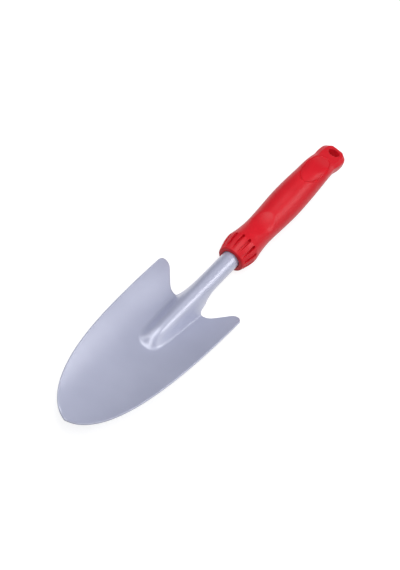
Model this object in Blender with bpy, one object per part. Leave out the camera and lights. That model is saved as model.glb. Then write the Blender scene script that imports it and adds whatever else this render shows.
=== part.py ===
"""Garden trowel: a pressed steel head with its rolled shank, a moulded grip and the pin that locks them.

Everything is drawn about the grip's axis: +Y runs from the blade to the butt, y = 0 is the mouth
of the grip where the shank goes in, and +Z is the side that the thumb rests on. An empty then
lays the trowel down as it rests on a table, with its bounding box centred over the origin.
"""

import math

import bmesh
import bpy
from mathutils import Matrix, Vector

MM = 0.001

# Sheet and rolled shank
SHEET_THICKNESS = 1.5 * MM
SHANK_RADIUS = 7.65 * MM
SHANK_SEAM_GAP = 1.1 * MM
SHANK_INSERTION = 60 * MM
SHANK_CLOSED_Y = -27 * MM

# Blade
BLADE_TIP_Y = -212 * MM
BLADE_HALF_WIDTH = 40.6 * MM
BLADE_SLOPE = 0.203
BLADE_DISH_RADIUS = 62 * MM
HEEL_DISH_RADIUS = 54 * MM
HEEL_DISH_Y = -100 * MM
BLADE_SHOULDER_Y = -62 * MM
OUTLINE_BLUNTNESS = 2.95
OUTLINE_FULLNESS = 0.54
OUTLINE_SLACK = 1.4 * MM
TIP_POINT = 0.065
TIP_POINT_REACH = 0.06
EDGE_BEVEL_WIDTH = 2.2 * MM
EDGE_BEVEL_LIMIT = 0.35
EDGE_THICKNESS_SHARE = 0.35

# Notches and ears beside the shank
NOTCH_Y = -53 * MM
NOTCH_CENTRE_X = 14.3 * MM
NOTCH_RADIUS = 10 * MM
NOTCH_FLANK_RUN = 4 * MM
NOTCH_FLANK_CUT = 0.26
EAR_TIP_Y = -37.4 * MM
EAR_TIP_RADIUS = 5.3 * MM
EAR_ROW_SWEEP = 20 * MM

# Rib that carries the shank out onto the blade; a pull is a flank curve's handle, as a share of its reach
HEEL_DEPTH = 9.8 * MM
RIB_NOSE_Y = -115 * MM
RIB_NOSE_ROUND = 11 * MM
RIB_NOSE_HALF_WIDTH = 11 * MM
RIB_NOSE_LIFT = 0.45
RIB_CLIMB_LENGTH = 22 * MM
NOSE_CROWN_PULL = 0.40
NOSE_FOOT_PULL = 0.55
HEEL_CROWN_PULL = 0.57
HEEL_FOOT_PULL = 0.56
STRIP_TIP_SHARE = 0.32

# Grip, as half-widths at the places where its outline turns
MOUTH_RADIUS = 11.4 * MM
COLLAR_RADIUS = 14.6 * MM
COLLAR_Y = 16.5 * MM
NECK_RADIUS = 12.3 * MM
NECK_Y = 38 * MM
SWELL_RADIUS = 13.8 * MM
SWELL_Y = 78 * MM
WAIST_RADIUS = 10.9 * MM
BUTT_HALF_WIDTH = 11.7 * MM
NECK_FALL = 1.8
WAIST_FALL = 1.7

# Butt, with its places set back from the end of the grip
GRIP_LENGTH = 155 * MM
HUMP_SETBACK = 45 * MM
WAIST_SETBACK = 25 * MM
BUTT_FLAT_SETBACK = 25 * MM
BUTT_SETBACK = 15 * MM
BUTT_END_ROUND = 11 * MM
BUTT_END_BLUNTNESS = 2.4
BUTT_EDGE_ROUND = 2.5 * MM
BUTT_HALF_HEIGHT = 6.9 * MM
BUTT_RISE = -0.9 * MM
BUTT_TILT = math.radians(17.5)
BUTT_SQUARENESS = 4.0
BUTT_FLAT_SHARE = 0.94
HUMP_RISE = 4.2 * MM
HUMP_EASE = 1.5
LIP_ROUND = 0.9 * MM

# Thumb rest on top of the neck
THUMB_Y = 38 * MM
THUMB_HALF_LENGTH = 13 * MM
THUMB_HALF_WIDTH = 9 * MM
THUMB_DEPTH = 1.2 * MM
THUMB_SOFTNESS = 1.5

# Flutes round the collar
FLUTE_COUNT = 14
FLUTE_FLOOR_WIDTH = 1.8 * MM
FLUTE_FLOOR_RADIUS = 12.4 * MM
FLUTE_DRAFT = math.radians(15)
FLUTE_END_Y = 13.3 * MM
FLUTE_RAKE = 4.2 * MM

# Hanging hole
HOLE_RADIUS = 4.7 * MM
HOLE_RIM_ROUND = 0.8 * MM
HOLE_RIM_STAND = 0.05 * MM
HOLE_SETBACK = 10.4 * MM

# Bore, its tapered core and the locking pin
FIT_CLEARANCE = 0.3 * MM
MOUTH_RELIEF = 0.6 * MM
MOUTH_RELIEF_DEPTH = 3 * MM
CORE_RADIUS = 6.4 * MM
CORE_TIP_RADIUS = 4.6 * MM
CORE_SETBACK = 43 * MM
PIN_RADIUS = 2 * MM
PIN_Y = 40 * MM
PIN_INSET = 0.5 * MM
PIN_COVER = 2.3 * MM
PIN_CHAMFER = 0.4 * MM

# Colours, as linear red, green and blue
SILVER = (0.42, 0.45, 0.58)
RED = (0.66, 0.02, 0.035)
ZINC = (0.55, 0.55, 0.53)

# Facets
STRIP_COLUMNS = 11
WING_COLUMNS = 7
TIP_ROWS = 13
TIP_ROW_CROWDING = 1.5
NOSE_ROWS = 9
RIB_ROWS = 10
EAR_ROWS = 9
NOTCH_ROWS = 5
NOTCH_ROW_CROWDING = 1.6
CLOSING_ROWS = 8
GRIP_SIDES = 48
GRIP_RINGS = 46
BUTT_RINGS = 8
BUTT_RING_CROWDING = 1.8
FLUTE_END_STEPS = 7
HOLE_RIM_STEPS = 3
ROUND_SIDES = 32
PIN_SIDES = 24
SHARP_ANGLE = math.radians(35)


def smooth(value):
    """Ease from 0 to 1."""
    value = min(max(value, 0.0), 1.0)
    return value * value * (3.0 - 2.0 * value)


def between(start, end, share):
    """Mix two numbers."""
    return start + (end - start) * share


def clear_scene():
    """Start from an empty scene."""
    for leftover in list(bpy.data.objects):
        bpy.data.objects.remove(leftover, do_unlink=True)


def material(name, colour, metallic, roughness):
    """Make a plain Principled material."""
    made = bpy.data.materials.new(name)
    made.use_nodes = True
    shader = made.node_tree.nodes["Principled BSDF"]
    shader.inputs["Base Color"].default_value = (*colour, 1.0)
    shader.inputs["Metallic"].default_value = metallic
    shader.inputs["Roughness"].default_value = roughness
    return made


def object_from(name, mesh_builder, finish, parent):
    """Turn a bmesh into a named object under the resting empty."""
    mesh = bpy.data.meshes.new(name)
    mesh_builder.to_mesh(mesh)
    mesh_builder.free()
    made = bpy.data.objects.new(name, mesh)
    bpy.context.collection.objects.link(made)
    if finish is not None:
        mesh.materials.append(finish)
    made.parent = parent
    return made


def cut(target, cutter, name):
    """Take a cutter away from a piece, and keep the cutter out of the model."""
    cutter.hide_render = True
    cutter.display_type = "WIRE"
    knife = target.modifiers.new(name, "BOOLEAN")
    knife.operation = "DIFFERENCE"
    knife.solver = "EXACT"
    knife.object = cutter


def turned(name, profile, parent, finish=None, sides=ROUND_SIDES):
    """Turn a closed profile of (radius, along) points about the Y axis; its ends lie on the axis."""
    shape = bmesh.new()
    ends = [shape.verts.new((0.0, profile[k][1], 0.0)) for k in (0, -1)]
    rings = []
    for radius, along in profile[1:-1]:
        ring = []
        for side in range(sides):
            turn = 2.0 * math.pi * (side + 0.5) / sides
            ring.append(shape.verts.new((radius * math.sin(turn), along, radius * math.cos(turn))))
        rings.append(ring)
    for first, second in zip(rings, rings[1:]):
        join_rings(shape, first, second)
    close_ring(shape, rings[0], ends[0])
    close_ring(shape, rings[-1], ends[1])
    face_outwards(shape)
    return object_from(name, shape, finish, parent)


def face_outwards(shape):
    """Make every face of a closed body look outwards."""
    bmesh.ops.recalc_face_normals(shape, faces=shape.faces)


def join_rings(shape, first, second):
    """Bridge two rings of equal length with quads."""
    count = len(first)
    for k in range(count):
        after = (k + 1) % count
        shape.faces.new((first[k], first[after], second[after], second[k]))


def close_ring(shape, ring, centre):
    """Close a ring with a fan to one point."""
    count = len(ring)
    for k in range(count):
        shape.faces.new((ring[k], ring[(k + 1) % count], centre))


# Pressed head. The sheet is drawn as its underside, which is also the shank's inside, and is then
# thickened upwards and outwards.

UNDER_RADIUS = SHANK_RADIUS - SHEET_THICKNESS
SEAM_HALF_ANGLE = math.asin(SHANK_SEAM_GAP / 2.0 / SHANK_RADIUS)
BLADE_LENGTH = BLADE_SHOULDER_Y - BLADE_TIP_Y


def half_width(y):
    """Half the blade's width: a blunt ogive with a slight point, parallel past its shoulder."""
    share = min((y - BLADE_TIP_Y) / BLADE_LENGTH, 1.0)
    body = 1.0 - (1.0 - share) ** OUTLINE_BLUNTNESS
    fullness = OUTLINE_FULLNESS + TIP_POINT * math.exp(-share / TIP_POINT_REACH)
    return BLADE_HALF_WIDTH * body ** fullness - OUTLINE_SLACK * math.sin(math.pi * share)


def blade_height(x, y):
    """Underside of the dished blade without its rib: a trough that climbs to the tip."""
    floor = -HEEL_DEPTH - SHEET_THICKNESS + BLADE_SLOPE * (NOTCH_Y - y)
    heel_share = smooth((y - HEEL_DISH_Y) / (EAR_TIP_Y - HEEL_DISH_Y))
    dish_radius = between(BLADE_DISH_RADIUS, HEEL_DISH_RADIUS, heel_share)
    return floor + x * x / (2.0 * dish_radius)


def rib_share(y):
    """How far back along the rib a station is: 0 at its nose, 1 at the notches."""
    return min(max((y - RIB_NOSE_Y) / (NOTCH_Y - RIB_NOSE_Y), 0.0), 1.0)


def rib_reach(q, y):
    """Sideways reach of the rib's S-shaped flank, from its crest at 0 to its foot at 1."""
    crown = between(NOSE_CROWN_PULL, HEEL_CROWN_PULL, rib_share(y))
    foot = between(NOSE_FOOT_PULL, HEEL_FOOT_PULL, rib_share(y))
    rest = 1.0 - q
    return 3.0 * crown * q * rest * rest + 3.0 * foot * q * q * rest + q ** 3


def rib_rise(q):
    """Height of the same flank, from 1 at its crest to 0 at its foot."""
    return (1.0 - q) ** 2 * (1.0 + 2.0 * q)


def rib_rise_at(reach, y):
    """Height of the flank at a given reach, found by halving."""
    if reach >= 1.0:
        return 0.0
    low, high = 0.0, 1.0
    for _ in range(30):
        middle = (low + high) / 2.0
        if rib_reach(middle, y) < reach:
            low = middle
        else:
            high = middle
    return rib_rise(low)


def rib_half_width(y):
    """Half-width of the rib's foot: narrow at the nose, as wide as the notches' inner ends."""
    return between(RIB_NOSE_HALF_WIDTH, NOTCH_CENTRE_X, rib_share(y))


def rib_climb(y):
    """How much of its height the crest has reached behind the nose."""
    return between(RIB_NOSE_LIFT, 1.0, smooth((y - RIB_NOSE_Y) / RIB_CLIMB_LENGTH))


def strip_half_width(y):
    """Half-width of the middle strip of the mesh, which narrows with the blade at the tip."""
    return min(rib_half_width(y), STRIP_TIP_SHARE * half_width(y))


def rib_height(y):
    """How far the crest stands above the blade, under the line of the shank's top."""
    return UNDER_RADIUS - blade_height(0.0, y)


def rib_point(q, y):
    """A point of the ribbed sheet at flank position q."""
    x = strip_half_width(y) * rib_reach(q, y)
    ahead = max(RIB_NOSE_Y + RIB_NOSE_ROUND - y, 0.0) / RIB_NOSE_ROUND
    rise = rib_climb(y) * rib_rise_at(math.hypot(x / rib_half_width(y), ahead), y)
    return Vector((x, y, blade_height(x, y) + rib_height(y) * rise))


def shank_point(q, y):
    """A point of the rolled shank, whose edges nearly meet underneath."""
    turn = q * (math.pi - SEAM_HALF_ANGLE)
    return Vector((UNDER_RADIUS * math.sin(turn), y, UNDER_RADIUS * math.cos(turn)))


def strip_point(q, y):
    """The middle strip: ribbed blade up to the notches, then a hat section that rolls shut."""
    rolled = smooth((y - NOTCH_Y) / (SHANK_CLOSED_Y - NOTCH_Y))
    return rib_point(q, y).lerp(shank_point(q, y), rolled)


def strip_edge(y):
    """Flank position of the sheet's free edge: cut in by the notch, then out again to the seam."""
    past = y - NOTCH_Y
    if past <= 0.0:
        return 1.0
    if past < NOTCH_FLANK_RUN:
        rest = 1.0 - past / NOTCH_FLANK_RUN
        return 1.0 - NOTCH_FLANK_CUT * math.sqrt(1.0 - rest * rest)
    closing = (past - NOTCH_FLANK_RUN) / (SHANK_CLOSED_Y - NOTCH_Y - NOTCH_FLANK_RUN)
    return 1.0 - NOTCH_FLANK_CUT * (1.0 - smooth(closing))


def wing_share(column, width):
    """Share of the way across the wing, with the last column kept for the ground edge."""
    bevel = min(EDGE_BEVEL_WIDTH / width, EDGE_BEVEL_LIMIT)
    if column == WING_COLUMNS:
        return 1.0
    return (1.0 - bevel) * column / (WING_COLUMNS - 1)


def wing_points(y):
    """One swept row of the wing, from the rib's foot to the cutting edge."""
    sweep = EAR_ROW_SWEEP * smooth((y - RIB_NOSE_Y) / (NOTCH_Y - RIB_NOSE_Y))
    inner = strip_half_width(y)
    outer = half_width(y - sweep)
    row = []
    for column in range(1, WING_COLUMNS + 1):
        share = wing_share(column, outer - inner)
        x = between(inner, outer, share)
        along = y - sweep * share
        row.append(Vector((x, along, blade_height(x, along))))
    return row


def ear_inner_edge(share):
    """Plan of the notch and the ear's inner edge, from the rib's foot to the ear's tip."""
    ear_x = BLADE_HALF_WIDTH - EAR_TIP_RADIUS
    ear_y = EAR_TIP_Y - EAR_TIP_RADIUS
    notch = Vector((NOTCH_CENTRE_X, NOTCH_Y + NOTCH_RADIUS))
    ear = Vector((ear_x, ear_y))
    apart = ear - notch
    lean = math.atan2(apart.y, apart.x)
    lean += math.asin((NOTCH_RADIUS + EAR_TIP_RADIUS) / apart.length)
    lean_start = math.pi / 2.0
    arc = NOTCH_RADIUS * lean
    leave_notch = notch + NOTCH_RADIUS * Vector((math.sin(lean), -math.cos(lean)))
    reach_ear = ear + EAR_TIP_RADIUS * Vector((-math.sin(lean), math.cos(lean)))
    straight = (reach_ear - leave_notch).length
    walked = share * (arc + straight)
    if walked < arc:
        turn = walked / NOTCH_RADIUS - lean_start
        return notch + NOTCH_RADIUS * Vector((math.cos(turn), math.sin(turn)))
    return leave_notch.lerp(reach_ear, (walked - arc) / straight)


def ear_tip_edge(share):
    """Plan of the ear's rounded tip, from its inner edge round to the outer one."""
    ear = Vector((BLADE_HALF_WIDTH - EAR_TIP_RADIUS, EAR_TIP_Y - EAR_TIP_RADIUS))
    start = ear_inner_edge(1.0) - ear
    turn = math.atan2(start.y, start.x) * (1.0 - share)
    return ear + EAR_TIP_RADIUS * Vector((math.cos(turn), math.sin(turn)))


def ear_point(across, along, heel_row):
    """A point of the ear, blended from its four edges."""
    left = ear_inner_edge(along)
    right = heel_row[-1].lerp(ear_tip_edge(1.0), along)
    low = heel_row[0].lerp(heel_row[-1], across)
    high = ear_tip_edge(across)
    corners = heel_row[0].lerp(heel_row[-1], across).lerp(
        ear_inner_edge(1.0).lerp(ear_tip_edge(1.0), across), along)
    plan = left.lerp(right, across) + low.lerp(high, along) - corners
    return Vector((plan.x, plan.y, blade_height(plan.x, plan.y)))


def blade_rows():
    """Stations from the tip to the notches."""
    nose_end = RIB_NOSE_Y + RIB_CLIMB_LENGTH
    tip = [between(BLADE_TIP_Y, RIB_NOSE_Y, (k / TIP_ROWS) ** TIP_ROW_CROWDING) for k in range(1, TIP_ROWS)]
    nose = [between(RIB_NOSE_Y, nose_end, k / NOSE_ROWS) for k in range(NOSE_ROWS)]
    heel = [between(nose_end, NOTCH_Y, k / RIB_ROWS) for k in range(RIB_ROWS + 1)]
    return tip + nose + heel


def shank_rows():
    """Stations from the notches to the shank's hidden end."""
    closing_start = NOTCH_Y + NOTCH_FLANK_RUN
    notch = [between(NOTCH_Y, closing_start, (k / NOTCH_ROWS) ** NOTCH_ROW_CROWDING)
             for k in range(1, NOTCH_ROWS + 1)]
    closing = [between(closing_start, SHANK_CLOSED_Y, k / CLOSING_ROWS) for k in range(1, CLOSING_ROWS + 1)]
    return notch + closing + [0.0, SHANK_INSERTION]


def pressed_head(parent, finish):
    """Blade, rib, ears and rolled shank, pressed and rolled from one sheet."""
    shape = bmesh.new()
    thin = shape.verts.layers.float.new("edge_bevel")

    def place(point, side):
        return shape.verts.new((side * point.x, point.y, point.z))

    def bridge(first, second):
        for k in range(len(first) - 1):
            shape.faces.new((first[k], first[k + 1], second[k + 1], second[k]))

    rows = []
    for y in blade_rows():
        strip = [strip_point(k / STRIP_COLUMNS, y) for k in range(STRIP_COLUMNS + 1)]
        half = strip + wing_points(y)
        left = [place(point, -1) for point in reversed(half[1:])]
        right = [place(point, 1) for point in half]
        row = left + right
        for rim in (row[0], row[-1]):
            rim[thin] = 1.0
        rows.append(row)
    for first, second in zip(rows, rows[1:]):
        bridge(first, second)
    tip = shape.verts.new((0.0, BLADE_TIP_Y, blade_height(0.0, BLADE_TIP_Y)))
    tip[thin] = 1.0
    for first, second in zip(rows[0], rows[0][1:]):
        shape.faces.new((tip, second, first))

    heel = rows[-1]
    previous = heel[WING_COLUMNS:-WING_COLUMNS]
    for y in shank_rows():
        edge = strip_edge(y)
        half = [strip_point(edge * k / STRIP_COLUMNS, y) for k in range(STRIP_COLUMNS + 1)]
        row = [place(point, -1) for point in reversed(half[1:])] + [place(point, 1) for point in half]
        bridge(previous, row)
        previous = row

    for side in (-1, 1):
        start = heel[-WING_COLUMNS - 1:] if side > 0 else heel[WING_COLUMNS::-1]
        plan = [Vector((side * vert.co.x, vert.co.y)) for vert in start]
        shares = [(point - plan[0]).length / (plan[-1] - plan[0]).length for point in plan]
        last = start
        for k in range(1, EAR_ROWS + 1):
            along = k / EAR_ROWS
            row = [place(ear_point(across, along, (plan[0], plan[-1])), side) for across in shares]
            row[-1][thin] = 1.0 - smooth(along)
            bridge(last[::side], row[::side])
            last = row

    head = object_from("pressed_head", shape, finish, parent)
    group = head.vertex_groups.new(name="full_thickness")
    bevel = head.data.attributes["edge_bevel"].data
    for vertex in head.data.vertices:
        group.add([vertex.index], 1.0 - bevel[vertex.index].value, "REPLACE")
    head.data.attributes.remove(head.data.attributes["edge_bevel"])
    sheet = head.modifiers.new("sheet", "SOLIDIFY")
    sheet.thickness = SHEET_THICKNESS
    sheet.offset = 1.0
    sheet.use_even_offset = True
    sheet.vertex_group = group.name
    sheet.thickness_vertex_group = EDGE_THICKNESS_SHARE
    return head


# Moulded grip

HUMP_Y = GRIP_LENGTH - HUMP_SETBACK
WAIST_Y = GRIP_LENGTH - WAIST_SETBACK
BUTT_FLAT_Y = GRIP_LENGTH - BUTT_FLAT_SETBACK
BUTT_Y = GRIP_LENGTH - BUTT_SETBACK
HOLE_Y = GRIP_LENGTH - HOLE_SETBACK
CORE_END_Y = GRIP_LENGTH - CORE_SETBACK


def grip_half_width(y):
    """Half-width of the grip in plan, before its butt is rounded off."""
    if y < COLLAR_Y:
        return between(MOUTH_RADIUS, COLLAR_RADIUS, math.sin(math.pi / 2.0 * max(y, 0.0) / COLLAR_Y))
    if y < NECK_Y:
        return between(NECK_RADIUS, COLLAR_RADIUS, (1.0 - (y - COLLAR_Y) / (NECK_Y - COLLAR_Y)) ** NECK_FALL)
    if y < SWELL_Y:
        return between(NECK_RADIUS, SWELL_RADIUS, smooth((y - NECK_Y) / (SWELL_Y - NECK_Y)))
    if y < WAIST_Y:
        return between(SWELL_RADIUS, WAIST_RADIUS, ((y - SWELL_Y) / (WAIST_Y - SWELL_Y)) ** WAIST_FALL)
    return between(WAIST_RADIUS, BUTT_HALF_WIDTH, smooth((y - WAIST_Y) / (BUTT_Y - WAIST_Y)))


def flattened(y):
    """How far the section has gone over from the round body to the flat-faced butt."""
    return smooth((y - HUMP_Y) / (BUTT_FLAT_Y - HUMP_Y))


def grip_half_height(y):
    """Half-height of the grip: round to the palm swell, then flattening to the butt."""
    return between(grip_half_width(min(y, WAIST_Y)), BUTT_HALF_HEIGHT, flattened(y))


def grip_middle(y):
    """Height of the grip's middle line: a hump under the palm, then a straight fall along the butt."""
    if y < HUMP_Y:
        return HUMP_RISE * smooth((y - NECK_Y) / (HUMP_Y - NECK_Y)) ** HUMP_EASE
    butt_line = BUTT_RISE - math.tan(BUTT_TILT) * (y - HOLE_Y)
    return between(HUMP_RISE, butt_line, flattened(y))


def end_rounding(y, reach, bluntness):
    """How much of the section is left near the rounded end of the butt."""
    into = max((y - GRIP_LENGTH + reach) / reach, 0.0)
    return max(1.0 - into ** bluntness, 0.0) ** (1.0 / bluntness)


def grip_point(y, turn):
    """A point of the grip's skin; turn is measured round from the top."""
    squareness = between(2.0, BUTT_SQUARENESS, flattened(y))
    side = math.sin(turn)
    up = math.cos(turn)
    swell = (abs(side) ** squareness + abs(up) ** squareness) ** (-1.0 / squareness)
    x = grip_half_width(y) * end_rounding(y, BUTT_END_ROUND, BUTT_END_BLUNTNESS) * swell * side
    flat_share = between(1.0, BUTT_FLAT_SHARE, flattened(y))
    level = max(min(swell * up, flat_share), -flat_share)
    lost_height = BUTT_EDGE_ROUND * (1.0 - end_rounding(y, BUTT_EDGE_ROUND, 2.0))
    z = (grip_half_height(y) - lost_height) * level
    if up > 0.0:
        away = ((y - THUMB_Y) / THUMB_HALF_LENGTH) ** 2 + (x / THUMB_HALF_WIDTH) ** 2
        z -= THUMB_DEPTH * max(1.0 - away, 0.0) ** THUMB_SOFTNESS
    return Vector((x, y, grip_middle(y) + z))


def grip_rings():
    """Stations along the grip, close together at the lip, the collar and the butt."""
    lip = [0.0, LIP_ROUND / 3.0, LIP_ROUND]
    end_start = GRIP_LENGTH - BUTT_END_ROUND
    body = [between(LIP_ROUND, end_start, k / GRIP_RINGS) for k in range(1, GRIP_RINGS + 1)]
    end = [between(GRIP_LENGTH, end_start, (1.0 - k / BUTT_RINGS) ** BUTT_RING_CROWDING)
           for k in range(1, BUTT_RINGS)]
    return lip + body + end


def moulded_grip(parent, finish):
    """The grip before it is cored: a loft of sections that run from round to nearly flat."""
    shape = bmesh.new()
    rings = []
    for y in grip_rings():
        lip = LIP_ROUND - math.sqrt(max(LIP_ROUND ** 2 - max(LIP_ROUND - y, 0.0) ** 2, 0.0))
        ring = []
        for side in range(GRIP_SIDES):
            turn = 2.0 * math.pi * side / GRIP_SIDES
            point = grip_point(y, turn)
            point.x -= lip * math.sin(turn)
            point.z -= lip * math.cos(turn)
            ring.append(shape.verts.new(point))
        rings.append(ring)
    for first, second in zip(rings, rings[1:]):
        join_rings(shape, first, second)
    close_ring(shape, rings[0], shape.verts.new((0.0, 0.0, 0.0)))
    end_height = grip_middle(GRIP_LENGTH)
    close_ring(shape, rings[-1], shape.verts.new((0.0, GRIP_LENGTH, end_height)))
    face_outwards(shape)
    return object_from("moulded_grip", shape, finish, parent)


def bore_cutter(parent):
    """Bore for the shank with a relieved mouth, a stop shoulder and the mould's tapered core."""
    bore = SHANK_RADIUS + FIT_CLEARANCE
    seat = SHANK_INSERTION + FIT_CLEARANCE
    outside = -LIP_ROUND
    profile = [
        (0.0, outside),
        (bore + MOUTH_RELIEF, outside),
        (bore + MOUTH_RELIEF, MOUTH_RELIEF),
        (bore, MOUTH_RELIEF_DEPTH),
        (bore, seat),
        (CORE_RADIUS, seat),
        (CORE_TIP_RADIUS, CORE_END_Y - CORE_TIP_RADIUS / 2.0),
        (CORE_TIP_RADIUS / 2.0, CORE_END_Y),
        (0.0, CORE_END_Y),
    ]
    return turned("bore_cutter", profile, parent)


def flute_outline(half, end):
    """Plan of one flute at one depth: straight sides and a round rear end."""
    centre = FLUTE_END_Y - FLUTE_FLOOR_WIDTH / 2.0 + end
    outline = [(half, -MOUTH_RELIEF_DEPTH)]
    for k in range(FLUTE_END_STEPS + 1):
        swing = math.pi * k / FLUTE_END_STEPS
        outline.append((half * math.cos(swing), centre + half * math.sin(swing)))
    return outline + [(-half, -MOUTH_RELIEF_DEPTH)]


def flute_cutter(parent):
    """Flutes: drafted slots along the axis with rounded rear ends, raked back at the top."""
    floor_half = FLUTE_FLOOR_WIDTH / 2.0
    height = 2.0 * (COLLAR_RADIUS - FLUTE_FLOOR_RADIUS)
    top_half = floor_half + height * math.tan(FLUTE_DRAFT)
    shape = bmesh.new()
    for number in range(FLUTE_COUNT):
        turn = 2.0 * math.pi * (number + 0.5) / FLUTE_COUNT
        end = FLUTE_RAKE * math.cos(turn)
        floor = [shape.verts.new((x, y, FLUTE_FLOOR_RADIUS)) for x, y in flute_outline(floor_half, end)]
        top = [shape.verts.new((x, y, FLUTE_FLOOR_RADIUS + height)) for x, y in flute_outline(top_half, end)]
        join_rings(shape, floor, top)
        shape.faces.new(floor)
        shape.faces.new(top)
        bmesh.ops.rotate(shape, verts=floor + top, cent=(0.0, 0.0, 0.0), matrix=Matrix.Rotation(turn, 3, "Y"))
    face_outwards(shape)
    return object_from("flute_cutter", shape, None, parent)


def hanging_hole_cutter(parent):
    """Hanging hole, square to the butt's two flats, whose rounded rims run out just clear of the flats."""
    half = BUTT_HALF_HEIGHT * BUTT_FLAT_SHARE * math.cos(BUTT_TILT) + HOLE_RIM_STAND
    profile = [(0.0, -2.0 * half), (HOLE_RADIUS + half + HOLE_RIM_ROUND, -2.0 * half)]
    for k in range(HOLE_RIM_STEPS + 1):
        swing = math.pi / 2.0 * k / HOLE_RIM_STEPS
        out = HOLE_RIM_ROUND * (1.0 - math.sin(swing))
        profile.append((HOLE_RADIUS + out, -half + HOLE_RIM_ROUND * (1.0 - math.cos(swing))))
    profile += [(radius, -along) for radius, along in reversed(profile)]
    cutter = turned("hanging_hole_cutter", profile, parent)
    cutter.location = (0.0, HOLE_Y, BUTT_RISE)
    cutter.rotation_euler = (math.pi / 2.0 - BUTT_TILT, 0.0, 0.0)
    return cutter


# Locking pin

def pin_span():
    """Lowest and highest point of the pin, which is driven up from under the neck."""
    low = grip_point(PIN_Y, math.pi).z + PIN_INSET
    high = grip_point(PIN_Y, 0.0).z - PIN_COVER
    return low, high


def pin_profile(radius, low, high, chamfer):
    """Profile of a plain pin or its hole, with chamfered ends."""
    return [
        (0.0, low),
        (radius - chamfer, low),
        (radius, low + chamfer),
        (radius, high - chamfer),
        (radius - chamfer, high),
        (0.0, high),
    ]


def upright(piece):
    """Stand a turned piece on the pin's line."""
    piece.location = (0.0, PIN_Y, 0.0)
    piece.rotation_euler = (math.pi / 2.0, 0.0, 0.0)
    return piece


def locking_pin(parent, finish):
    """Steel pin that keeps the shank from pulling out or turning in the grip."""
    low, high = pin_span()
    profile = pin_profile(PIN_RADIUS, low, high, PIN_CHAMFER)
    return upright(turned("locking_pin", profile, parent, finish, sides=PIN_SIDES))


def pin_hole_cutter(parent):
    """Drilled hole for the pin, open underneath and blind under the thumb rest."""
    low, high = pin_span()
    profile = pin_profile(PIN_RADIUS + FIT_CLEARANCE, low - COLLAR_RADIUS, high + FIT_CLEARANCE, PIN_CHAMFER)
    return upright(turned("pin_hole_cutter", profile, parent, sides=PIN_SIDES))


# Laying the trowel down

def world_points(pieces):
    """Vertices of the finished pieces in world space."""
    depsgraph = bpy.context.evaluated_depsgraph_get()
    points = []
    for piece in pieces:
        finished = piece.evaluated_get(depsgraph)
        points += [finished.matrix_world @ vertex.co for vertex in finished.data.vertices]
    return points


def resting_edge(points, balance_y):
    """The two lowest points that the trowel rests on, one on each side of its balance point."""
    outline = sorted((point.y, point.z) for point in points)
    hull = []
    for spot in outline:
        while len(hull) > 1:
            (y1, z1), (y2, z2) = hull[-2:]
            if (y2 - y1) * (spot[1] - z1) - (z2 - z1) * (spot[0] - y1) > 0.0:
                break
            hull.pop()
        hull.append(spot)
    for first, second in zip(hull, hull[1:]):
        if first[0] <= balance_y <= second[0]:
            return first, second
    return hull[0], hull[-1]


def lay_down(empty, pieces):
    """Turn and lower the trowel until it rests on the ground under the middle of its box."""
    (y1, z1), (y2, z2) = resting_edge(world_points(pieces), NOTCH_Y / 2.0)
    empty.rotation_euler = (-math.atan2(z2 - z1, y2 - y1), 0.0, 0.0)
    bpy.context.view_layer.update()
    points = world_points(pieces)
    lowest = min(point.z for point in points)
    front = min(point.y for point in points)
    back = max(point.y for point in points)
    empty.location = (0.0, -(front + back) / 2.0, -lowest)
    bpy.context.view_layer.update()


def build():
    """Model the trowel."""
    clear_scene()
    steel_paint = material("silver_paint", SILVER, metallic=0.4, roughness=0.38)
    red_plastic = material("red_plastic", RED, metallic=0.0, roughness=0.4)
    bare_steel = material("plated_steel", ZINC, metallic=1.0, roughness=0.35)

    empty = bpy.data.objects.new("resting_pose", None)
    bpy.context.collection.objects.link(empty)

    head = pressed_head(empty, steel_paint)
    grip = moulded_grip(empty, red_plastic)
    pin = locking_pin(empty, bare_steel)

    pin_hole = pin_hole_cutter(empty)
    cut(head, pin_hole, "pin_hole")
    cut(grip, flute_cutter(empty), "flutes")
    cut(grip, bore_cutter(empty), "bore")
    cut(grip, hanging_hole_cutter(empty), "hanging_hole")
    cut(grip, pin_hole, "pin_hole")

    for piece in (head, grip, pin):
        piece.data.shade_smooth()
        piece.data.set_sharp_from_angle(angle=SHARP_ANGLE)
    bpy.context.view_layer.update()
    lay_down(empty, (head, grip, pin))


build()
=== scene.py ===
"""Garden trowel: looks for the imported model. Pressed head in silver paint, red moulded grip, plated pin."""

import math

import bmesh
import bpy
from mathutils import Matrix, Vector


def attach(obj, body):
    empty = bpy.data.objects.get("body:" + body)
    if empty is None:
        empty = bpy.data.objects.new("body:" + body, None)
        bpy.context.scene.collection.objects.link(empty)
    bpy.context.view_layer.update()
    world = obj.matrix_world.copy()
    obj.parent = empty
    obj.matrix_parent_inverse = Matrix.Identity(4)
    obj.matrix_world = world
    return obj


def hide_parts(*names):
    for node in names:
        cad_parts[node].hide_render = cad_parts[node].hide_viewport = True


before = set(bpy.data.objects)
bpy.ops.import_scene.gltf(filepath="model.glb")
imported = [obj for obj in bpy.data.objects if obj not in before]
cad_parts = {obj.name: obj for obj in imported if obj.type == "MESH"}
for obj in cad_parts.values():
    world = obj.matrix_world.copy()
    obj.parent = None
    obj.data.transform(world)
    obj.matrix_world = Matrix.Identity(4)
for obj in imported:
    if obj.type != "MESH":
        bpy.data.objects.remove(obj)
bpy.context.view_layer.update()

MM = 0.001

# How the trowel lies: the grip's axis tips up towards the butt, by an angle in radians, and the place is
# where the mouth of the grip comes.
LIE_TILT = 0.0746491
LIE_PLACE = Vector((0.0, 28.987, 13.421)) * MM
LIE = Matrix.Translation(LIE_PLACE) @ Matrix.Rotation(LIE_TILT, 4, "X")


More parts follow.
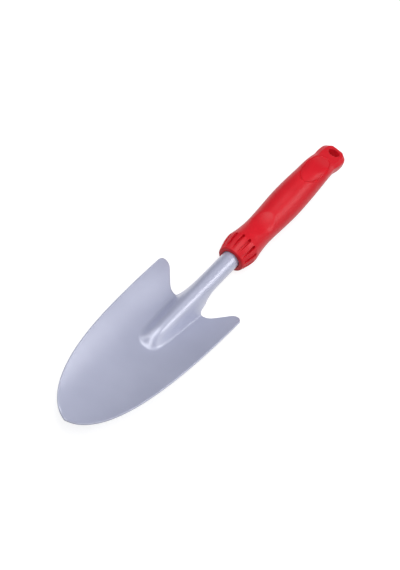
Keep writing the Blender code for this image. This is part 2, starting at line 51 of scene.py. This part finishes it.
def on_axis(x, y, z):
    """A place given in millimetres about the grip's axis, as it lies on the table."""
    return LIE @ (Vector((x, y, z)) * MM)


# Camera, from the photograph's own outline. Its directions are given about the grip's axis, and the two
# aims turn it from the view's direction to the middle of the frame.

CAMERA_PLACE = on_axis(207.2, -733.1, 1070.4)
VIEW_RIGHT = Vector((0.77249885, 0.58810751, 0.23953098))
VIEW_UP = Vector((-0.61469779, 0.59788822, 0.51446701))
VIEW_FORWARD = Vector((-0.15934916, 0.54466434, -0.82337635))
AIM_RIGHT = -0.007064
AIM_UP = -0.003902
LENS = 105.05
FAR_CLIP = 20.0


def set_camera():
    """Camera at the photograph's angle, turned to look along the frame's middle."""
    turn = LIE.to_3x3()
    forward = (turn @ (VIEW_FORWARD + AIM_RIGHT * VIEW_RIGHT + AIM_UP * VIEW_UP)).normalized()
    right = turn @ VIEW_RIGHT
    right = (right - forward * right.dot(forward)).normalized()
    up = right.cross(forward)
    data = bpy.data.cameras.new("photo_camera")
    data.lens = LENS
    data.clip_end = FAR_CLIP
    camera = bpy.data.objects.new("photo_camera", data)
    bpy.context.collection.objects.link(camera)
    place = Matrix((right, up, -forward)).transposed().to_4x4()
    place.translation = CAMERA_PLACE
    camera.matrix_world = place
    bpy.context.scene.camera = camera


# Materials. A pattern's scale is how many of its patches lie along a metre.

SILVER_CLOUDS = 28.0    # 36 mm from one slightly denser patch of the sprayed silver to the next
ORANGE_PEEL = 700.0     # 1.4 mm, drawn coarser than the real peel, which is too fine to show
RED_CLOUDS = 60.0       # 17 mm from one slightly deeper patch of the plastic's red to the next
MOULD_GRAIN = 1600.0    # 0.6 mm, drawn coarser than the real grain, which is too fine to show
DRAWING_MARKS = 2500.0  # 0.4 mm, drawn coarser than the real marks, which are too fine to show


def linear(hex_colour):
    """An sRGB hex colour as linear red, green, blue and alpha."""
    shares = [int(hex_colour[k:k + 2], 16) / 255.0 for k in (1, 3, 5)]
    light = [s / 12.92 if s <= 0.04045 else ((s + 0.055) / 1.055) ** 2.4 for s in shares]
    return (*light, 1.0)


def add_node(tree, kind, settings=None, links=None):
    """Add a node, set its values and link its inputs."""
    node = tree.nodes.new(kind)
    for name, value in (settings or {}).items():
        if isinstance(name, str) and hasattr(node, name):
            setattr(node, name, value)
        else:
            node.inputs[name].default_value = value
    for name, socket in (links or {}).items():
        tree.links.new(socket, node.inputs[name])
    return node


def new_material(name, values):
    """A material with its tree and its shader, whose own sockets take the values that are even all over."""
    made = bpy.data.materials.new(name)
    made.use_nodes = True
    tree = made.node_tree
    shader = tree.nodes["Principled BSDF"]
    for socket, value in values.items():
        shader.inputs[socket].default_value = value
    return made, tree, shader


def silver_paint():
    """Silver stoving enamel, sprayed and baked on pressed steel.

    Its metal flake lies under a satin film. To the eye that gives wide soft highlights and the faintest
    orange peel.
    """
    made, tree, shader = new_material("silver_stoving_enamel", {
        "Metallic": 0.2, "Coat Weight": 1.0, "Coat Roughness": 0.32, "Coat IOR": 1.85})
    place = add_node(tree, "ShaderNodeTexCoord").outputs["Object"]
    clouds = add_node(tree, "ShaderNodeTexNoise", {"Scale": SILVER_CLOUDS, "Detail": 3.0}, {"Vector": place})
    colour = add_node(tree, "ShaderNodeValToRGB", links={"Fac": clouds.outputs["Fac"]})
    colour.color_ramp.elements[0].position = 0.3
    colour.color_ramp.elements[0].color = linear("#a7abc4")
    colour.color_ramp.elements[1].position = 0.7
    colour.color_ramp.elements[1].color = linear("#afb3cb")
    tree.links.new(colour.outputs["Color"], shader.inputs["Base Color"])
    rough = add_node(tree, "ShaderNodeMapRange", {"To Min": 0.42, "To Max": 0.50},
                     {"Value": clouds.outputs["Fac"]})
    tree.links.new(rough.outputs["Result"], shader.inputs["Roughness"])
    peel = add_node(tree, "ShaderNodeTexNoise", {"Scale": ORANGE_PEEL, "Detail": 2.0}, {"Vector": place})
    bump = add_node(tree, "ShaderNodeBump", {"Strength": 0.01, "Distance": 0.2 * MM},
                    {"Height": peel.outputs["Fac"]})
    tree.links.new(bump.outputs["Normal"], shader.inputs["Normal"])
    return made


def red_polypropylene():
    """Red polypropylene, moulded in a spark-eroded mould.

    The mould's grain breaks up what the plastic reflects. To the eye that gives a deep red with a soft
    sheen and no sharp reflection.
    """
    made, tree, shader = new_material("red_polypropylene", {"IOR": 1.49, "Specular IOR Level": 0.28})
    place = add_node(tree, "ShaderNodeTexCoord").outputs["Object"]
    clouds = add_node(tree, "ShaderNodeTexNoise", {"Scale": RED_CLOUDS, "Detail": 2.0}, {"Vector": place})
    colour = add_node(tree, "ShaderNodeValToRGB", links={"Fac": clouds.outputs["Fac"]})
    colour.color_ramp.elements[0].position = 0.35
    colour.color_ramp.elements[0].color = linear("#d01725")
    colour.color_ramp.elements[1].position = 0.65
    colour.color_ramp.elements[1].color = linear("#d51927")
    tree.links.new(colour.outputs["Color"], shader.inputs["Base Color"])
    rough = add_node(tree, "ShaderNodeMapRange", {"To Min": 0.36, "To Max": 0.42},
                     {"Value": clouds.outputs["Fac"]})
    tree.links.new(rough.outputs["Result"], shader.inputs["Roughness"])
    grain = add_node(tree, "ShaderNodeTexNoise", {"Scale": MOULD_GRAIN, "Detail": 1.0}, {"Vector": place})
    bump = add_node(tree, "ShaderNodeBump", {"Strength": 0.12, "Distance": 0.1 * MM},
                    {"Height": grain.outputs["Fac"]})
    tree.links.new(bump.outputs["Normal"], shader.inputs["Normal"])
    return made


def plated_steel():
    """Zinc-plated drawn steel: to the eye, a dull grey metal whose shine is uneven."""
    made, tree, shader = new_material("zinc_plated_steel", {
        "Metallic": 1.0, "Base Color": linear("#a5a5a0")})
    place = add_node(tree, "ShaderNodeTexCoord").outputs["Object"]
    marks = add_node(tree, "ShaderNodeTexNoise", {"Scale": DRAWING_MARKS}, {"Vector": place})
    rough = add_node(tree, "ShaderNodeMapRange", {"To Min": 0.28, "To Max": 0.45},
                     {"Value": marks.outputs["Fac"]})
    tree.links.new(rough.outputs["Result"], shader.inputs["Roughness"])
    return made


def finish_with(piece, finish):
    """Give a piece its finish, and nothing else."""
    piece.data.materials.clear()
    piece.data.materials.append(finish)


# Skins

SEAM = 0.001 * MM       # corners nearer than this are one corner


def select_only(piece):
    """Make one piece the selected and active one."""
    bpy.ops.object.select_all(action="DESELECT")
    piece.select_set(True)
    bpy.context.view_layer.objects.active = piece


def merged_copy(node_name, skin_name):
    """A copy of a CAD node with its loose triangles sewn together again."""
    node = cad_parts[node_name]
    skin = bpy.data.objects.new(skin_name, node.data.copy())
    bpy.context.collection.objects.link(skin)
    select_only(skin)
    bpy.ops.mesh.customdata_custom_splitnormals_clear()
    bpy.ops.object.mode_set(mode="EDIT")
    bpy.ops.mesh.select_all(action="SELECT")
    bpy.ops.mesh.remove_doubles(threshold=SEAM)
    bpy.ops.object.mode_set(mode="OBJECT")
    return skin


def apply_all(piece):
    """Apply a piece's modifiers in order."""
    select_only(piece)
    for modifier in list(piece.modifiers):
        bpy.ops.object.modifier_apply(modifier=modifier.name)


def stands_for(skin, node_name, finish):
    """Fix a skin to the trowel in place of its CAD node."""
    finish_with(skin, finish)
    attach(skin, "root")
    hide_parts(node_name)


# Pressed head. Each kind of edge is kept crisp, by a share, where it bends by more than so many degrees.

RIM_BEND, RIM_CRISPNESS = 50.0, 0.75
POINT_BEND, POINT_CRISPNESS = 14.0, 0.9
GROUND_BEND, GROUND_CRISPNESS = 5.0, 0.7

POINT_Y = -182.5 * MM       # the blade's point is what lies in front of this
NOSE_FRONT_Y = -89.0 * MM   # the rib lies behind this
RIB_SIDE_X = 16.0 * MM      # and no further out than this
GROUND_END_Y = -20.0 * MM   # the ground edge is followed back to here, just past the front of the notches

PAIRING_BEND = math.radians(40.0)   # two triangles that bend less than this may become one four-sided face
REFINING_LEVELS = 2


def crease_edges(skin):
    """Keep the sheared rim, the ground edge and the point of the blade crisp when the skin is refined."""
    built = bmesh.new()
    built.from_mesh(skin.data)
    crease = built.edges.layers.float.new("crease_edge")
    bends = {edge: math.degrees(edge.calc_face_angle()) for edge in built.edges if len(edge.link_faces) == 2}
    rim = {corner for edge, bend in bends.items() if bend > RIM_BEND for corner in edge.verts}
    beside = {edge.other_vert(corner) for corner in rim for edge in corner.link_edges} - rim
    for edge, bend in bends.items():
        middle = (edge.verts[0].co + edge.verts[1].co) / 2.0
        off_rib = middle.y < NOSE_FRONT_Y or (abs(middle.x) > RIB_SIDE_X and middle.y < GROUND_END_Y)
        if bend > RIM_BEND:
            edge[crease] = RIM_CRISPNESS
        elif bend > POINT_BEND and middle.y < POINT_Y:
            edge[crease] = POINT_CRISPNESS
        elif bend > GROUND_BEND and off_rib and beside.issuperset(edge.verts):
            edge[crease] = GROUND_CRISPNESS
    built.to_mesh(skin.data)
    built.free()


def head_skin(finish):
    """The pressed head with its curves refined and its sheared edges just broken by the paint."""
    skin = merged_copy("pressed_head", "pressed_head_skin")
    bpy.ops.object.mode_set(mode="EDIT")
    bpy.ops.mesh.select_all(action="SELECT")
    bpy.ops.mesh.tris_convert_to_quads(face_threshold=PAIRING_BEND, shape_threshold=math.pi,
                                       topology_influence=2.0)
    bpy.ops.object.mode_set(mode="OBJECT")
    crease_edges(skin)
    curves = skin.modifiers.new("rolled_curves", "SUBSURF")
    curves.levels = REFINING_LEVELS
    curves.render_levels = REFINING_LEVELS
    apply_all(skin)
    bpy.ops.object.shade_smooth()
    stands_for(skin, "pressed_head", finish)
    return skin


# Grip, drawn on a finer mesh. Half-widths, heights and places along its axis are in millimetres. A fall
# or an ease is the power of its curve, and CIRCLE is the power of a round outline.

CIRCLE = 2.0

GRIP_LENGTH = 155.0
MOUTH_RADIUS = 11.4
LIP_ROUND = 0.9
COLLAR_RADIUS = 14.6
COLLAR_Y = 16.5
NECK_RADIUS = 12.3
NECK_Y = 38.0
NECK_FALL = 1.8
SWELL_RADIUS = 13.8
SWELL_Y = 78.0
HUMP_Y = 110.0
HUMP_RISE = 4.2
HUMP_EASE = 1.5
WAIST_RADIUS = 10.9
WAIST_Y = 130.0
WAIST_FALL = 1.7

FLAT_FROM_Y = 104.0
FLAT_TO_Y = 134.0
BUTT_HALF_WIDTH = 11.7
BUTT_HALF_HEIGHT = 6.9
BUTT_Y = 140.0
BUTT_RISE = -0.9
BUTT_TILT = math.radians(17.5)
BUTT_SQUARENESS = 4.0
BUTT_FLAT = 0.94
BUTT_FACET_TURN = math.radians(36.0)
BUTT_FACET_SLOPE = 1.2
BUTT_END_ROUND = 11.0
BUTT_END_BLUNTNESS = 2.4
BUTT_EDGE_ROUND = 2.5
BUTT_LAST_Y = 154.73

HOLE_Y = 144.6
HOLE_RADIUS = 5.0
HOLE_RIM_ROUND = 0.8
HOLE_RIM_STAND = 0.05

THUMB_Y = 38.0
THUMB_HALF_LENGTH = 13.0
THUMB_HALF_WIDTH = 9.0
THUMB_DEPTH = 1.65
THUMB_FRONT_EASE = 1.5
THUMB_REAR_EASE = 0.85
THUMB_CHANGE_Y = 32.0
THUMB_CHANGE_RUN = 8.0

GRIP_SIDES = 100
GRIP_RINGS = 160
BUTT_RINGS = 16
BUTT_RING_CROWDING = 1.8
LIP_RING_SHARES = (0.0, 0.1, 0.3, 0.6, 1.0)
TURNED_SIDES = 72
SHARP_BEND = math.radians(32.0)


def smooth(value):
    """Ease from 0 to 1."""
    value = min(max(value, 0.0), 1.0)
    return value * value * (3.0 - 2.0 * value)


def between(start, end, share):
    """Mix two numbers."""
    return start + (end - start) * share


def grip_half_width(y):
    """Half-width of the grip in plan, before its butt is rounded off."""
    if y < COLLAR_Y:
        return between(MOUTH_RADIUS, COLLAR_RADIUS, math.sin(math.pi / 2.0 * max(y, 0.0) / COLLAR_Y))
    if y < NECK_Y:
        return between(NECK_RADIUS, COLLAR_RADIUS, (1.0 - (y - COLLAR_Y) / (NECK_Y - COLLAR_Y)) ** NECK_FALL)
    if y < SWELL_Y:
        return between(NECK_RADIUS, SWELL_RADIUS, smooth((y - NECK_Y) / (SWELL_Y - NECK_Y)))
    if y < WAIST_Y:
        return between(SWELL_RADIUS, WAIST_RADIUS, ((y - SWELL_Y) / (WAIST_Y - SWELL_Y)) ** WAIST_FALL)
    return between(WAIST_RADIUS, BUTT_HALF_WIDTH, smooth((y - WAIST_Y) / (BUTT_Y - WAIST_Y)))


def flattened(y):
    """How far the section has gone over from the round body to the flat butt."""
    return smooth((y - FLAT_FROM_Y) / (FLAT_TO_Y - FLAT_FROM_Y))


def grip_middle(y):
    """Height of the middle line: a hump under the palm, then a straight fall along the butt."""
    hump = HUMP_RISE * smooth((y - NECK_Y) / (HUMP_Y - NECK_Y)) ** HUMP_EASE
    return between(hump, BUTT_RISE - math.tan(BUTT_TILT) * (y - HOLE_Y), flattened(y))


def end_rounding(y, reach, bluntness):
    """How much of the section is left near the rounded end of the butt."""
    into = max((y - GRIP_LENGTH + reach) / reach, 0.0)
    return max(1.0 - into ** bluntness, 0.0) ** (1.0 / bluntness)


def thumb_hollow(x, y):
    """How deep the thumb rest is over a place in plan: it fades out in front and is firmer behind."""
    away = ((y - THUMB_Y) / THUMB_HALF_LENGTH) ** 2 + (x / THUMB_HALF_WIDTH) ** 2
    ease = between(THUMB_FRONT_EASE, THUMB_REAR_EASE, smooth((y - THUMB_CHANGE_Y) / THUMB_CHANGE_RUN))
    return THUMB_DEPTH * max(1.0 - away, 0.0) ** ease


def grip_point(y, turn):
    """A point of the grip's outside; turn is measured round from the top."""
    squareness = between(CIRCLE, BUTT_SQUARENESS, flattened(y))
    side = math.sin(turn)
    up = math.cos(turn)
    swell = (abs(side) ** squareness + abs(up) ** squareness) ** (-1.0 / squareness)
    facet_reach = BUTT_FLAT * (1.0 + BUTT_FACET_SLOPE * math.tan(BUTT_FACET_TURN))
    swell = min(swell, facet_reach / (abs(up) + BUTT_FACET_SLOPE * abs(side)))
    x = grip_half_width(y) * end_rounding(y, BUTT_END_ROUND, BUTT_END_BLUNTNESS) * swell * side
    flat = between(1.0, BUTT_FLAT, flattened(y))
    level = max(min(swell * up, flat), -flat)
    half_height = between(grip_half_width(min(y, WAIST_Y)), BUTT_HALF_HEIGHT, flattened(y))
    half_height -= BUTT_EDGE_ROUND * (1.0 - end_rounding(y, BUTT_EDGE_ROUND, CIRCLE))
    z = half_height * level
    if up > 0.0:
        z -= thumb_hollow(x, y)
    return Vector((x, y, grip_middle(y) + z))


def shape_from_rings(name, rings, closed=False):
    """A solid skinned over rings of points: its ends are capped, or its last ring meets its first."""
    count = len(rings[0])
    points = [point * MM for ring in rings for point in ring]
    faces = []
    for k in range(len(rings) if closed else len(rings) - 1):
        first = k * count
        second = (k + 1) % len(rings) * count
        for n in range(count):
            after = (n + 1) % count
            faces.append((first + n, first + after, second + after, second + n))
    if not closed:
        faces.append(tuple(range(count)))
        faces.append(tuple(reversed(range(len(points) - count, len(points)))))
    mesh = bpy.data.meshes.new(name)
    mesh.from_pydata(points, [], faces)
    made = bpy.data.objects.new(name, mesh)
    bpy.context.collection.objects.link(made)
    select_only(made)
    bpy.ops.object.mode_set(mode="EDIT")
    bpy.ops.mesh.select_all(action="SELECT")
    bpy.ops.mesh.normals_make_consistent(inside=False)
    bpy.ops.object.mode_set(mode="OBJECT")
    return made


def turned(name, profile, sides=TURNED_SIDES):
    """A solid of revolution about the Y axis, from (radius, along) pairs."""
    turns = [2.0 * math.pi * (side + 0.5) / sides for side in range(sides)]
    rings = [[Vector((radius * math.sin(turn), along, radius * math.cos(turn))) for turn in turns]
             for radius, along in profile]
    return shape_from_rings(name, rings)


def carve(piece, cutter):
    """Take a cutter's shape out of a piece, and the cutter out of the scene."""
    knife = piece.modifiers.new(cutter.name, "BOOLEAN")
    knife.operation = "DIFFERENCE"
    knife.solver = "EXACT"
    knife.object = cutter
    apply_all(piece)
    bpy.data.objects.remove(cutter)


def grip_body():
    """The grip before it is cored: one loft from the mouth to the butt."""
    lip = [LIP_ROUND * share for share in LIP_RING_SHARES]
    end = GRIP_LENGTH - BUTT_END_ROUND
    body = [between(LIP_ROUND, end, k / GRIP_RINGS) for k in range(1, GRIP_RINGS + 1)]
    crowded = [(1.0 - k / BUTT_RINGS) ** BUTT_RING_CROWDING for k in range(1, BUTT_RINGS + 1)]
    butt = [between(BUTT_LAST_Y, end, share) for share in crowded]
    rings = []
    for y in lip + body + butt:
        lost = LIP_ROUND - math.sqrt(max(LIP_ROUND ** 2 - max(LIP_ROUND - y, 0.0) ** 2, 0.0))
        ring = []
        for side in range(GRIP_SIDES):
            turn = 2.0 * math.pi * side / GRIP_SIDES
            ring.append(grip_point(y, turn) - lost * Vector((math.sin(turn), 0.0, math.cos(turn))))
        rings.append(ring)
    return shape_from_rings("moulded_grip_skin", rings)


# Flutes round the collar. Their rear ends rake back towards the top.

FLUTE_COUNT = 14
FLUTE_FLOOR = 11.5
FLUTE_FRONT_FLOOR = 11.8
FLUTE_FLOOR_RUN = 12.0
FLUTE_HALF_WIDTH = 0.9
FLUTE_END_Y = 13.3
FLUTE_RAKE = 4.2
FLUTE_DRAFT = math.tan(math.radians(6.0))
FLUTE_STATIONS = (-2.0, 2.0, 4.0, 6.0, 8.0, 10.0)
FLUTE_STATION_GAP = 1.0
FLUTE_END_STEPS = 14

# A flute's cutter has levels at depths under the collar's skin, each with what the slot gains there in
# half-width. The first lies on the floor, the slot opens out as it crosses the skin, and the last is clear
# of it. A level that would sink under the floor stays above it by a share of its gain.
FLUTE_LEVELS = ((9.0, 0.0), (0.3, 0.0), (0.05, 0.05), (-0.15, 0.25), (-4.0, 0.4))
FLUTE_DEEP = 4.0
FLUTE_LEVEL_LIFT = 0.1


def flute_floor(y):
    """Radius of a flute's floor, which sinks a little towards the back."""
    return between(FLUTE_FRONT_FLOOR, FLUTE_FLOOR, min(max(y / FLUTE_FLOOR_RUN, 0.0), 1.0))


def flute_outline(centre):
    """A slot with a round rear end: share of the half-width sideways, place, share of it beyond there."""
    flank = [(1.0, y, 0.0) for y in FLUTE_STATIONS if y < centre - FLUTE_STATION_GAP]
    swings = [math.pi * k / FLUTE_END_STEPS for k in range(FLUTE_END_STEPS + 1)]
    rear = [(math.cos(swing), centre, math.sin(swing)) for swing in swings]
    return flank + rear + [(-side, y, beyond) for side, y, beyond in reversed(flank)]


def flute_ring(turn, depth, gain):
    """One level of a flute's cutter: its outline wrapped round the collar at a depth under its skin."""
    ring = []
    for side, y, beyond in flute_outline(FLUTE_END_Y - FLUTE_HALF_WIDTH + FLUTE_RAKE * math.cos(turn)):
        floor = flute_floor(y)
        skin_radius = grip_half_width(y + FLUTE_HALF_WIDTH * beyond)
        radius = max(skin_radius - depth, floor + gain * FLUTE_LEVEL_LIFT)
        if depth > FLUTE_DEEP:
            radius = floor
        half = FLUTE_HALF_WIDTH + (min(radius, COLLAR_RADIUS) - floor) * FLUTE_DRAFT + gain
        angle = turn + half * side / radius
        ring.append(Vector((radius * math.sin(angle), y + half * beyond, radius * math.cos(angle))))
    return ring


def flute_cutter():
    """Slots round the collar, with drafted walls, round rear ends and softened rims."""
    flutes = []
    for number in range(FLUTE_COUNT):
        turn = 2.0 * math.pi * (number + 0.5) / FLUTE_COUNT
        levels = [flute_ring(turn, depth, gain) for depth, gain in FLUTE_LEVELS]
        flutes.append(shape_from_rings("flute", levels))
    bpy.ops.object.select_all(action="DESELECT")
    for flute in flutes:
        flute.select_set(True)
    bpy.context.view_layer.objects.active = flutes[0]
    bpy.ops.object.join()
    return flutes[0]


# Bore, hanging hole and pin hole. The bore's profile is radius and place along the axis: a relieved mouth,
# the seat of the shank with its shoulder, then the mould's tapered core.

BORE_PROFILE = ((8.3, -2.0), (8.2, 0.4), (7.95, 1.6), (7.95, 60.3), (6.4, 60.4), (4.6, 109.7), (2.3, 112.0))
HOLE_RIM_STEPS = 6
PIN_Y = 40.0
PIN_HOLE_RADIUS = 2.3
PIN_HOLE_BOTTOM = -30.0
PIN_HOLE_TOP = 9.0
PIN_HOLE_SIDES = 40


def bore_cutter():
    """Bore for the shank, with its relieved mouth and the mould's tapered core beyond the shoulder."""
    return turned("bore", BORE_PROFILE)


def hole_cutter():
    """Hanging hole square to the butt's flats, with rounded rims."""
    half = BUTT_HALF_HEIGHT * BUTT_FLAT * math.cos(BUTT_TILT) + HOLE_RIM_STAND
    profile = [(HOLE_RADIUS + half, -2.0 * half)]
    for k in range(HOLE_RIM_STEPS + 1):
        swing = math.pi / 2.0 * k / HOLE_RIM_STEPS
        out = HOLE_RIM_ROUND * (1.0 - math.sin(swing))
        profile.append((HOLE_RADIUS + out, -half + HOLE_RIM_ROUND * (1.0 - math.cos(swing))))
    profile += [(radius, -along) for radius, along in reversed(profile)]
    cutter = turned("hanging_hole", profile)
    cutter.data.transform(Matrix.Translation(Vector((0.0, HOLE_Y, BUTT_RISE)) * MM)
                          @ Matrix.Rotation(math.pi / 2.0 - BUTT_TILT, 4, "X"))
    return cutter


def pin_hole_cutter():
    """Hole up through the underside of the neck, for the locking pin."""
    profile = [(PIN_HOLE_RADIUS, PIN_HOLE_BOTTOM), (PIN_HOLE_RADIUS, PIN_HOLE_TOP)]
    cutter = turned("pin_hole", profile, PIN_HOLE_SIDES)
    cutter.data.transform(Matrix.Translation(Vector((0.0, PIN_Y, 0.0)) * MM)
                          @ Matrix.Rotation(math.pi / 2.0, 4, "X"))
    return cutter


# Moulded line round the bare oval panel

OVAL_Y = 113.6
OVAL_HALF_LENGTH = 20.0
OVAL_HALF_WIDTH = 8.6
OVAL_LINE = 0.78
OVAL_LIFT = 0.06
OVAL_STEPS = 140
OVAL_LINE_SIDES = 10
TOP_TURN = 1.4          # radians from the top to either side, between which a place on it is sought
TOP_HALVINGS = 30


def on_top(x, y):
    """The point of the grip's top that lies over a place in plan."""
    low, high = -TOP_TURN, TOP_TURN
    for _ in range(TOP_HALVINGS):
        turn = (low + high) / 2.0
        if grip_point(y, turn).x < x:
            low = turn
        else:
            high = turn
    return grip_point(y, low)


def oval_cutter():
    """A thin tube round the bare oval panel behind the palm swell, half sunk to leave a moulded line."""
    path = []
    for k in range(OVAL_STEPS):
        swing = 2.0 * math.pi * k / OVAL_STEPS
        path.append(on_top(OVAL_HALF_WIDTH * math.cos(swing), OVAL_Y + OVAL_HALF_LENGTH * math.sin(swing)))
    spins = [2.0 * math.pi * n / OVAL_LINE_SIDES for n in range(OVAL_LINE_SIDES)]
    rings = []
    for k, spot in enumerate(path):
        out = (spot - Vector((0.0, spot.y, grip_middle(spot.y)))).normalized()
        along = (path[(k + 1) % OVAL_STEPS] - path[k - 1]).normalized()
        across = along.cross(out).normalized()
        out = across.cross(along)
        rings.append([spot + OVAL_LIFT * out + OVAL_LINE * (math.cos(spin) * out + math.sin(spin) * across)
                      for spin in spins])
    return shape_from_rings("oval_line", rings, closed=True)


def grip_skin(finish):
    """The moulded grip: flutes, bore, hanging hole, pin hole and oval line cut into one smooth body."""
    skin = grip_body()
    for cutter in (oval_cutter(), flute_cutter(), bore_cutter(), hole_cutter(), pin_hole_cutter()):
        carve(skin, cutter)
    skin.data.transform(LIE)
    select_only(skin)
    bpy.ops.object.shade_smooth_by_angle(angle=SHARP_BEND)
    stands_for(skin, "moulded_grip", finish)
    return skin


# Studio. Each softbox has the direction in which the trowel sees it, its width in metres and its watts.

TABLE_WIDTH = 8.0
TABLE_DROP = 0.2 * MM
TABLE_GLOW = 0.80
ROOM_LEVEL = 0.16
LAMP_DISTANCE = 1.3
SOFTBOXES = (
    ("top_softbox", (-0.18, 0.03, 1.0), 0.8, 7.0),
    ("front_softbox", (0.16, -0.46, 0.87), 0.6, 4.6),
    ("left_softbox", (-0.74, -0.08, 0.65), 0.6, 2.4),
    ("side_softbox", (0.86, 0.28, 0.42), 0.8, 2.8),
    ("key_lamp", (0.52, 0.45, 0.73), 0.5, 4.4),
)


def white_table():
    """Matt white table, bright to the camera and in reflections, that still takes a soft shadow."""
    bpy.ops.mesh.primitive_plane_add(size=TABLE_WIDTH, location=(0.0, 0.0, -TABLE_DROP))
    table = bpy.context.object
    table.name = "white_table"
    made, tree, shader = new_material("white_table", {"Base Color": linear("#98989a"), "Roughness": 0.9})
    rays = add_node(tree, "ShaderNodeLightPath")
    glow = add_node(tree, "ShaderNodeEmission", {"Strength": TABLE_GLOW})
    total = add_node(tree, "ShaderNodeAddShader", links={0: shader.outputs[0], 1: glow.outputs[0]})
    mirrored = add_node(tree, "ShaderNodeMath", {"operation": "MAXIMUM"},
                        {0: rays.outputs["Is Glossy Ray"], 1: rays.outputs["Is Transmission Ray"]})
    seen = add_node(tree, "ShaderNodeMath", {"operation": "MAXIMUM"},
                    {0: rays.outputs["Is Camera Ray"], 1: mirrored.outputs[0]})
    pick = add_node(tree, "ShaderNodeMixShader",
                    links={0: seen.outputs[0], 1: shader.outputs[0], 2: total.outputs[0]})
    tree.links.new(pick.outputs[0], tree.nodes["Material Output"].inputs["Surface"])
    table.data.materials.append(made)


def softbox(name, towards, width, watts):
    """One square softbox, turned to face the trowel."""
    data = bpy.data.lights.new(name, "AREA")
    data.size = width
    data.energy = watts
    lamp = bpy.data.objects.new(name, data)
    bpy.context.collection.objects.link(lamp)
    direction = Vector(towards).normalized()
    lamp.location = direction * LAMP_DISTANCE
    lamp.rotation_euler = direction.to_track_quat("Z", "Y").to_euler()


def light_room():
    """Pale room, with boxes overhead, in front and on the left, and two on the right for the glints."""
    world = bpy.data.worlds.new("pale_room")
    bpy.context.scene.world = world
    world.use_nodes = True
    back = world.node_tree.nodes["Background"]
    back.inputs["Color"].default_value = (1.0, 1.0, 1.0, 1.0)
    back.inputs["Strength"].default_value = ROOM_LEVEL
    for name, towards, width, watts in SOFTBOXES:
        softbox(name, towards, width, watts)


bpy.context.scene.view_settings.view_transform = "Standard"
set_camera()
head_skin(silver_paint())
grip_skin(red_polypropylene())
finish_with(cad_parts["locking_pin"], plated_steel())
white_table()
light_room()
